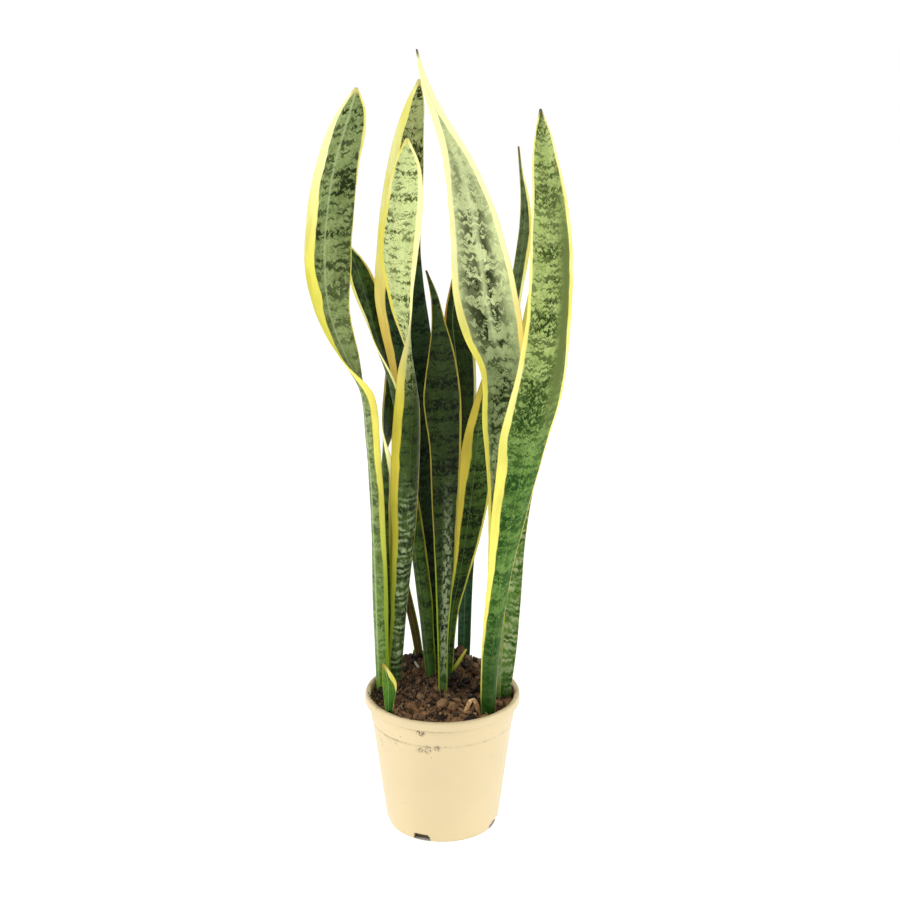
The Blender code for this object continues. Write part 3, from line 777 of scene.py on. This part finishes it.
def soil_material():
    """Potting mix. The attribute tone picks black, brown, bark or straw. The back is darker, with painted
    shade under the leaves.
    """
    s = Shader("potting_mix")
    place = s.node("TexCoord", {}, out=3)
    tone = s.number("tone")
    coarse = s.noise(place, 130.0, 4.0, 0.6)
    fine = s.noise(place, 900.0, 3.0, 0.6)
    grain = s.step(fine, 0.35, 0.7)
    brown = s.mix(s.step(coarse, 0.35, 0.65), (0.018, 0.008, 0.002), (0.235, 0.110, 0.050))
    brown = s.mix(s.times(grain, 0.5), brown, (0.46, 0.28, 0.145))
    bark = s.mix(s.noise(place, 420.0, 3.0), (0.14, 0.068, 0.030), (0.50, 0.31, 0.17))
    black = s.mix(grain, (0.007, 0.004, 0.002), (0.032, 0.017, 0.009))
    straw = s.mix(grain, (0.50, 0.33, 0.19), (0.66, 0.50, 0.33))
    colour = s.mix(s.step(tone, 0.30, 0.36), black, brown)
    colour = s.mix(s.step(tone, 0.60, 0.66), colour, bark)
    colour = s.mix(s.step(tone, 0.88, 0.92), colour, straw)
    depth = s.node("SeparateXYZ", {0: place}, out=1)
    # Painted shade: darker towards the back, under the leaves, and a little lighter at the front.
    back_shade = s.step(s.add(depth, s.times(coarse, 0.02)), -0.030, 0.010, 1.08, 0.5)
    colour = s.mix(1.0, colour, s.vector(back_shade, back_shade, s.times(back_shade, 0.92)), "MULTIPLY")
    normal = s.bump(coarse, 0.5, 0.0015)
    normal = s.bump(fine, 0.6, 0.0006, normal)
    rough = s.step(fine, 0.2, 0.8, 0.38, 0.95)
    return s.finish(colour, rough, normal, Specular_IOR_Level=0.3)


def pot_material():
    """Cream plastic, dusty near the top, with broken bands of painted shade in the creases under the
    collar's step and under the lip, specks, smudges of soil, and painted shade in the hollow under the
    pot.
    """
    s = Shader("cream_plastic")
    place = s.node("TexCoord", {}, out=3)
    height = s.node("SeparateXYZ", {0: place}, out=2)
    cloud = s.noise(place, 14.0, 3.0, 0.5)
    colour = s.mix(cloud, tint(217, 197, 152), tint(228, 209, 165))
    high = s.step(height, 0.085, 0.150)

    patchy = s.noise(place, 24.0, 4.0, 0.7, 0.5)
    smear = s.times(s.step(patchy, 0.57, 0.66), high)
    dust_and_shade = s.times(s.step(s.noise(place, 300.0, 3.0, 0.7), 0.46, 0.60), smear)
    speck = s.noise(place, 210.0, 2.0, 0.45)
    # Painted shade: brown bands in the creases under the collar's step and just under the lip, broken up
    # like dusty specks.
    crease_shade = s.times(s.step(height, 0.1205, 0.1232), s.step(height, 0.1240, 0.1256, 1.0, 0.0))
    under_lip_shade = s.times(s.step(height, 0.1405, 0.1440), s.step(height, 0.1452, 0.1460, 1.0, 0.0))
    crease_shade = s.times(s.math("MAXIMUM", crease_shade, under_lip_shade), s.step(patchy, 0.40, 0.60, 0.25, 1.0))
    dust_and_shade = s.math("MAXIMUM", dust_and_shade, s.times(crease_shade, s.step(speck, 0.35, 0.60, 0.35, 1.0)))
    colour = s.mix(s.times(dust_and_shade, 0.6), colour, (0.24, 0.16, 0.09))

    grit = s.step(s.noise(place, 420.0, 3.0, 0.65), 0.42, 0.52)
    for angle, level, reach in SMUDGES:
        turn = math.radians(angle)
        spot = (COLLAR_RADIUS * math.cos(turn) * MM, COLLAR_RADIUS * math.sin(turn) * MM, level * MM)
        away = s.node("VectorMath", {0: place, 1: spot}, out=1, operation="DISTANCE")
        smudge = s.times(s.step(away, 0.2 * reach * MM, reach * MM, 1.0, 0.0), grit)
        colour = s.mix(smudge, colour, (0.07, 0.04, 0.018))

    rare = s.step(s.noise(place, 33.0, 2.0), 0.45, 0.6)
    specks = s.times(s.times(s.step(speck, 0.735, 0.765), rare), s.add(s.times(high, 0.6), 0.3))
    colour = s.mix(specks, colour, (0.10, 0.06, 0.035))

    foot = s.step(height, 0.0, 0.016, 1.0, 0.0)
    colour = s.mix(s.times(foot, 0.25), colour, (0.66, 0.55, 0.30))
    # Painted shade: the hollow under the pot, seen through the drain notches, is darkened.
    flat = s.node("VectorMath", {0: place, 1: (1.0, 1.0, 0.0)}, operation="MULTIPLY")
    reach = s.node("VectorMath", {0: flat}, out=1, operation="LENGTH")
    under = s.times(s.step(reach, 0.0560, 0.0580, 1.0, 0.0), s.step(height, 0.0062, 0.0070, 1.0, 0.0))
    colour = s.mix(s.times(under, 0.9), colour, (0.05, 0.035, 0.02))

    rough = s.add(s.step(cloud, 0.2, 0.8, 0.30, 0.42), s.times(dust_and_shade, 0.3))
    normal = s.bump(s.noise(place, 1600.0), 0.08, 0.0002)
    normal = s.bump(cloud, 0.15, 0.002, normal)
    return s.finish(colour, rough, normal)


def husk_material(name, dark, light):
    s = Shader(name + "_skin")
    place = s.node("TexCoord", {}, out=3)
    streak = s.noise(place, 500.0, 4.0, 0.65, 0.6)
    blotch = s.noise(place, 120.0, 3.0)
    colour = s.mix(s.step(streak, 0.35, 0.65), dark, light)
    colour = s.mix(s.times(s.step(blotch, 0.5, 0.7), 0.5), colour, tuple(0.55 * c for c in dark))
    normal = s.bump(streak, 0.6, 0.0006)
    return s.finish(colour, s.step(streak, 0.3, 0.7, 0.62, 0.85), normal)


# ---- Soil


def soil_level(x, y):
    """Height in mm of the soil at a place in mm: the CAD soil's own rule, without its clods."""
    dx = (x - MOUND_CENTRE[0]) / MOUND_SPREAD[0]
    dy = (y - MOUND_CENTRE[1]) / MOUND_SPREAD[1]
    mound = MOUND_HEIGHT * math.exp(-(dx * dx + dy * dy))
    clods = math.sin(x * 0.31 + 1.0) * math.sin(y * 0.27 + 0.6)
    clods += 0.6 * math.sin(x * 0.13 - y * 0.41 + 2.0)
    bank = 156.0 + 1.1 * (78.2 - math.hypot(x, y))
    return min(SOIL_FRONT + mound + 1.4 * clods, bank)


def crumbled(x, y):
    """The level in mm with the mix's own lumps on it, which are lower towards the pot's wall."""
    lumps = 3.2 * noise.noise((x * 0.085, y * 0.085, 1.0))
    lumps += 4.2 * abs(noise.noise((x * 0.21, y * 0.21, 5.0)))
    lumps += 1.5 * noise.noise((x * 0.55, y * 0.55, 9.0))
    inward = min(1.0, max(0.0, (80.0 - math.hypot(x, y)) / 12.0))
    return soil_level(x, y) + lumps * (0.4 + 0.6 * inward)


class Heap:
    """Points and faces of many small pieces, each with a tone, to make one mesh."""

    def __init__(self):
        self.points = []
        self.faces = []
        self.tones = []

    def put(self, points, faces, tone):
        start = len(self.points)
        self.points += [tuple(p) for p in points]
        self.faces += [tuple(i + start for i in f) for f in faces]
        self.tones += [tone] * len(points)


def ball(subdivisions):
    """Points and faces of a round lump of radius 1."""
    bm = bmesh.new()
    bmesh.ops.create_icosphere(bm, subdivisions=subdivisions, radius=1.0)
    points = np.array([v.co for v in bm.verts])
    faces = [[v.index for v in f.verts] for f in bm.faces]
    bm.free()
    return points, faces


def turned_about(points, dice):
    """The points turned by a random rotation."""
    q = np.array([dice.gauss(0, 1) for _ in range(4)])
    w, x, y, z = q / np.linalg.norm(q)
    turn = np.array((
        (1 - 2 * (y * y + z * z), 2 * (x * y - z * w), 2 * (x * z + y * w)),
        (2 * (x * y + z * w), 1 - 2 * (x * x + z * z), 2 * (y * z - x * w)),
        (2 * (x * z - y * w), 2 * (y * z + x * w), 1 - 2 * (x * x + y * y)),
    ))
    return points @ turn.T


def lump(heap, shape, place, size, rough, tone, dice):
    """One clod, chip or crumb: a ball squeezed to size, roughened, turned and put in place (mm)."""
    points, faces = shape
    points = points * np.array(size)
    shift = dice.uniform(0, 90)
    for k, p in enumerate(points):
        n = noise.noise((p[0] * 0.9 + shift, p[1] * 0.9, p[2] * 0.9))
        points[k] = p * (1 + rough * n)
    heap.put((turned_about(points, dice) + place) * MM, faces, tone)


def fibre(heap, start, heading, length, radius, tone, dice):
    """A bent root hair or straw: a thin tube, measured in mm, that lies on the soil."""
    steps = max(4, int(length / 2.0))
    centre = np.array(start, float)
    path = []
    turn = heading
    lift = dice.uniform(0.2, 0.9)
    for k in range(steps + 1):
        t = k / steps
        level = crumbled(centre[0], centre[1]) + 0.6 + lift * 3.0 * math.sin(math.pi * t)
        path.append((centre[0], centre[1], level))
        turn += dice.uniform(-0.35, 0.35)
        centre[:2] += np.array((math.cos(turn), math.sin(turn))) * length / steps
    points = []
    faces = []
    n = FIBRE_SIDES
    for k, p in enumerate(path):
        a = np.array(path[max(k - 1, 0)])
        b = np.array(path[min(k + 1, steps)])
        ahead = (b - a) / np.linalg.norm(b - a)
        side = np.cross(ahead, (0.0, 0.0, 1.0))
        side /= np.linalg.norm(side)
        up = np.cross(side, ahead)
        size = radius * (1 - 0.6 * k / steps)
        for i in range(n):
            angle = 2 * math.pi * i / n
            out = side * math.cos(angle) * size + up * math.sin(angle) * size
            points.append((np.array(p) + out) * MM)
    for k in range(steps):
        for i in range(n):
            j = (i + 1) % n
            faces.append((k * n + i, k * n + j, (k + 1) * n + j, (k + 1) * n + i))
    faces.append(tuple(range(n - 1, -1, -1)))
    faces.append(tuple(range(steps * n, (steps + 1) * n)))
    heap.put(points, faces, tone)


def somewhere(dice, most):
    """A random place on the soil, within a radius in mm."""
    radius = most * math.sqrt(dice.random())
    angle = dice.uniform(0, 2 * math.pi)
    return radius * math.cos(angle), radius * math.sin(angle)


def soil_surface():
    """The soil's closed surface: rings over its top, then down its outline to the middle of its foot."""
    points = [(0.0, 0.0, crumbled(0, 0))]
    for k in range(1, SOIL_RINGS + 1):
        radius = SOIL_EDGE * k / SOIL_RINGS
        for i in range(SOIL_STEPS):
            angle = 2 * math.pi * (i + 0.5 * (k % 2)) / SOIL_STEPS
            x, y = radius * math.cos(angle), radius * math.sin(angle)
            points.append((x, y, crumbled(x, y)))
    for radius, z in SOIL_OUTLINE:
        points += level_ring(radius, z, SOIL_STEPS)
    points.append((0.0, 0.0, SOIL_OUTLINE[-1][1]))
    surface = closed_rings("potting_mix", points, SOIL_STEPS)
    tone = [0.45 + 0.5 * noise.noise((x * 0.4, y * 0.4, 3.0)) for x, y, _ in points]
    give(surface, "tone", np.clip(tone, 0.2, 0.62))
    return surface


def soil_bits(dice):
    """Clods, flat chips, crumbs and fibres on the soil, and a few crumbs on the pot's lip, in mm."""
    heap = Heap()
    clod, crumb = ball(2), ball(1)
    for _ in range(CLODS):
        x, y = somewhere(dice, 74.0)
        size = 1.4 + 4.6 * dice.random() ** 2.4
        sides = [size * dice.uniform(0.7, 1.25) for _ in range(3)]
        place = (x, y, crumbled(x, y) + 0.25 * size)
        tone = dice.choice((BLACK, BLACK, 0.4, 0.45, BROWN, 0.55, BARK))
        lump(heap, clod, place, sides, 0.55, tone, dice)
    for _ in range(CHIPS):
        x, y = somewhere(dice, 73.0)
        long = dice.uniform(2.5, 6.5)
        sides = (long, long * dice.uniform(0.35, 0.6), long * dice.uniform(0.14, 0.3))
        place = (x, y, crumbled(x, y) + 0.7)
        tone = dice.choice((0.7, BARK, 0.8, BROWN, BLACK))
        lump(heap, clod, place, sides, 0.35, tone, dice)
    for _ in range(CRUMBS):
        x, y = somewhere(dice, 76.5)
        size = dice.uniform(0.5, 1.5)
        sides = [size * dice.uniform(0.6, 1.3) for _ in range(3)]
        place = (x, y, crumbled(x, y) + 0.3 * size)
        tone = dice.choice((BLACK, 0.2, BLACK, 0.4, BROWN, BROWN, BROWN, BARK, 0.8, STRAW))
        lump(heap, crumb, place, sides, 0.5, tone, dice)
    for _ in range(FIBRES):
        start = somewhere(dice, 62.0)
        length = dice.uniform(7, 20)
        fibre(heap, start, dice.uniform(0, 6.28), length, dice.uniform(0.18, 0.5), STRAW, dice)
    for start, end, count in LIP_CRUMBS:
        for _ in range(count):
            angle = math.radians(dice.uniform(start, end))
            radius = dice.uniform(79.6, 82.0)
            size = dice.uniform(0.35, 0.9)
            place = (radius * math.cos(angle), radius * math.sin(angle), LIP_LEVEL + 0.3 * size)
            tone = dice.choice((BLACK, 0.4, BROWN))
            lump(heap, crumb, place, (size, size, 0.7 * size), 0.5, tone, dice)
    bits = mesh_from("soil_bits", heap.points, heap.faces)
    give(bits, "tone", heap.tones)
    return bits


def make_soil():
    material = soil_material()
    new_piece("potting_mix", soil_surface(), material, "potting_soil")
    piece = new_piece("soil_bits", soil_bits(random.Random(SOIL_SEED)), material)


# ---- Pot


def rounded(corners, reach=0.7):
    """The outline in mm with each corner rounded by a small arc of four points."""
    points = [corners[0]]
    for a, b, c in zip(corners, corners[1:], corners[2:]):
        a, b, c = (np.array(p, float) for p in (a, b, c))
        back = min(reach, 0.42 * np.linalg.norm(a - b))
        ahead = min(reach, 0.42 * np.linalg.norm(c - b))
        p = b + (a - b) / np.linalg.norm(a - b) * back
        q = b + (c - b) / np.linalg.norm(c - b) * ahead
        for t in (0.0, 0.33, 0.67, 1.0):
            points.append(tuple((1 - t) ** 2 * p + 2 * t * (1 - t) * b + t * t * q))
    return points + [corners[-1]]


def pot_outline():
    """Radius and height in mm, from the floor's middle up the inside, over the lip and down."""
    corners = [
        (0.0, 6.5), (58.6, 6.5), (61.2, 10.0), (68.3, 66.0), (75.6, 122.5), (76.7, 125.0),
        (79.1, 152.5), (80.0, 154.5), (82.4, 155.0), (84.1, 154.3), (85.0, 152.4), (85.2, 145.7),
        (84.7, 145.0), (83.5, 145.0), (83.2, 152.4), (80.8, 152.4), (80.6, 144.0), (78.2, 125.0),
        (77.2, 123.5), (69.95, 66.0), (62.6, 7.0), (60.8, 5.8), (60.0, 0.8), (59.2, 0.0),
        (54.0, 0.0), (52.8, 4.5), (37.2, 4.5), (36.0, 0.0), (0.0, 0.0),
    ]
    return rounded(corners)


def turned(name, outline):
    """A closed mesh made by turning an outline in mm that starts and ends on the axis."""
    points = [(0.0, 0.0, outline[0][1])]
    for radius, z in outline[1:-1]:
        points += level_ring(radius, z, POT_STEPS)
    points.append((0.0, 0.0, outline[-1][1]))
    return closed_rings(name, points, POT_STEPS)


def notch_cutter(angle):
    """A block with rounded sides, narrower above, across the pot's foot ring."""
    bm = bmesh.new()
    bmesh.ops.create_cube(bm, size=1.0)
    for v in bm.verts:
        width = NOTCH_WIDTH * (NOTCH_NARROWING if v.co.z > 0 else 1.0)
        v.co.x = (v.co.x * NOTCH_DEPTH + NOTCH_RADIUS) * MM
        v.co.y *= width * MM
        v.co.z = ((v.co.z + 0.5) * NOTCH_HEIGHT - NOTCH_BELOW) * MM
    edges = [e for e in bm.edges if abs(e.verts[0].co.x - e.verts[1].co.x) > 0.5 * NOTCH_DEPTH * MM]
    bmesh.ops.bevel(bm, geom=edges, offset=NOTCH_ROUND * MM, segments=4, affect="EDGES", profile=0.5)
    mesh = bpy.data.meshes.new("notch")
    bm.to_mesh(mesh)
    bm.free()
    cutter = bpy.data.objects.new("notch", mesh)
    cutter.rotation_euler = (0, 0, math.radians(angle))
    return cutter


def make_pot():
    shell = linked("shell", turned("shell", pot_outline()))
    cutters = bpy.data.collections.new("notches")
    bpy.context.scene.collection.children.link(cutters)
    for angle in NOTCH_ANGLES:
        cutters.objects.link(notch_cutter(angle))
    cut = shell.modifiers.new("notches", "BOOLEAN")
    cut.operation = "DIFFERENCE"
    cut.solver = "EXACT"
    cut.operand_type = "COLLECTION"
    cut.collection = cutters
    mesh = evaluated_copy(shell, "pot_shell")
    mesh.set_sharp_from_angle(angle=math.radians(38))
    for obj in list(cutters.objects):
        bpy.data.objects.remove(obj)
    bpy.data.collections.remove(cutters)
    new_piece("pot_shell", mesh, pot_material(), "nursery_pot")


# ---- Small bits


def make_bit(node, name, dark, light, wrinkle):
    """A finer copy of one of the CAD's loose bits, with wrinkles as deep as wrinkle, in mm."""
    rough = linked("rough", mesh_from("rough", *node_arrays(node)))
    weld = rough.modifiers.new("weld", "WELD")
    weld.merge_threshold = 0.01 * MM
    fine = rough.modifiers.new("fine", "SUBSURF")
    fine.subdivision_type = "SIMPLE"
    fine.levels = fine.render_levels = 3
    soft = rough.modifiers.new("soft", "SMOOTH")
    soft.iterations = 4
    mesh = evaluated_copy(rough, name)
    for v in mesh.vertices:
        push = noise.noise(v.co * WRINKLES)
        v.co += v.normal * push * wrinkle * MM
    new_piece(name, mesh, husk_material(name, dark, light), node)


# ---- Room


def area_light(name, place, target, size, power, colour=(1.0, 1.0, 1.0)):
    lamp = bpy.data.lights.new(name, "AREA")
    lamp.shape = "DISK"
    lamp.size = size
    lamp.energy = power
    lamp.color = colour
    obj = linked(name, lamp)
    obj.location = place
    aim = Vector(target) - Vector(place)
    obj.rotation_euler = aim.to_track_quat("-Z", "Y").to_euler()


def make_floor():
    low = cad_box[0][2]
    corners = [(x * FLOOR_REACH, y * FLOOR_REACH, low) for x, y in ((-1, -1), (1, -1), (1, 1), (-1, 1))]
    mesh = mesh_from("floor", corners, [(0, 1, 2, 3)])
    floor = linked("floor", mesh)
    s = Shader("floor_paper")
    s.surface.inputs["Emission Color"].default_value = (1.0, 1.0, 1.0, 1.0)
    place = s.node("TexCoord", {}, out=3)
    reach = s.node("VectorMath", {0: place}, out=1, operation="LENGTH")
    glow = s.step(reach, GLOW_RADIUS, GLOW_RADIUS + 1.0 * MM, 0.0, FLOOR_GLOW)
    s.feed(s.surface.inputs["Emission Strength"], glow)
    mesh.materials.append(s.finish((0.68, 0.68, 0.68), 0.9, None, Specular_IOR_Level=0.1))


def make_sky():
    world = bpy.data.worlds.new("studio")
    bpy.context.scene.world = world
    world.use_nodes = True
    tree = world.node_tree
    sky = tree.nodes["Background"]
    sky.inputs["Color"].default_value = (1.0, 1.0, 1.0, 1.0)
    direction = tree.nodes.new("ShaderNodeTexCoord")
    upward = tree.nodes.new("ShaderNodeSeparateXYZ")
    brightness = tree.nodes.new("ShaderNodeMapRange")
    for socket, value in zip(("From Min", "From Max", "To Min", "To Max"), SKY_TURN + SKY_STRENGTH):
        brightness.inputs[socket].default_value = value
    tree.links.new(direction.outputs["Generated"], upward.inputs[0])
    tree.links.new(upward.outputs["Z"], brightness.inputs["Value"])
    tree.links.new(brightness.outputs["Result"], sky.inputs["Strength"])


def make_room():
    make_floor()
    make_sky()
    area_light("left", (-2.3, -0.6, 1.4), (0.0, 0.0, 0.45), 1.1, 28.0, (1.0, 0.99, 0.96))
    area_light("right", (2.3, -0.7, 1.2), (0.0, 0.0, 0.45), 1.1, 22.0)
    area_light("front", (0.2, -2.6, 1.5), (0.0, 0.0, 0.40), 1.2, 4.5)
    bpy.context.scene.view_settings.view_transform = "Standard"


def make_camera():
    data = bpy.data.cameras.new("camera")
    data.sensor_width = SENSOR_WIDTH
    data.lens = CAMERA_LENS
    camera = linked("camera", data)
    camera.location = CAMERA_PLACE
    camera.rotation_euler = (math.radians(90 - CAMERA_DOWN), 0.0, 0.0)
    bpy.context.scene.camera = camera


def build():
    make_camera()
    make_room()
    for seed, (name, look) in enumerate(LEAVES.items()):
        look = {**PLAIN, **look, "seed": seed + 1}
        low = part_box(name)[0][2]
        new_piece(name + "_blade", blade_mesh(name, look), leaf_material(name, look, low), name)
    make_pot()
    make_soil()
    make_bit("dry_husk", "dry_husk_paper", tint(186, 118, 48), tint(244, 216, 164), 0.6)
    make_bit("root_sliver", "root_sliver_bark", (0.30, 0.26, 0.20), (0.55, 0.49, 0.40), 0.4)


build()
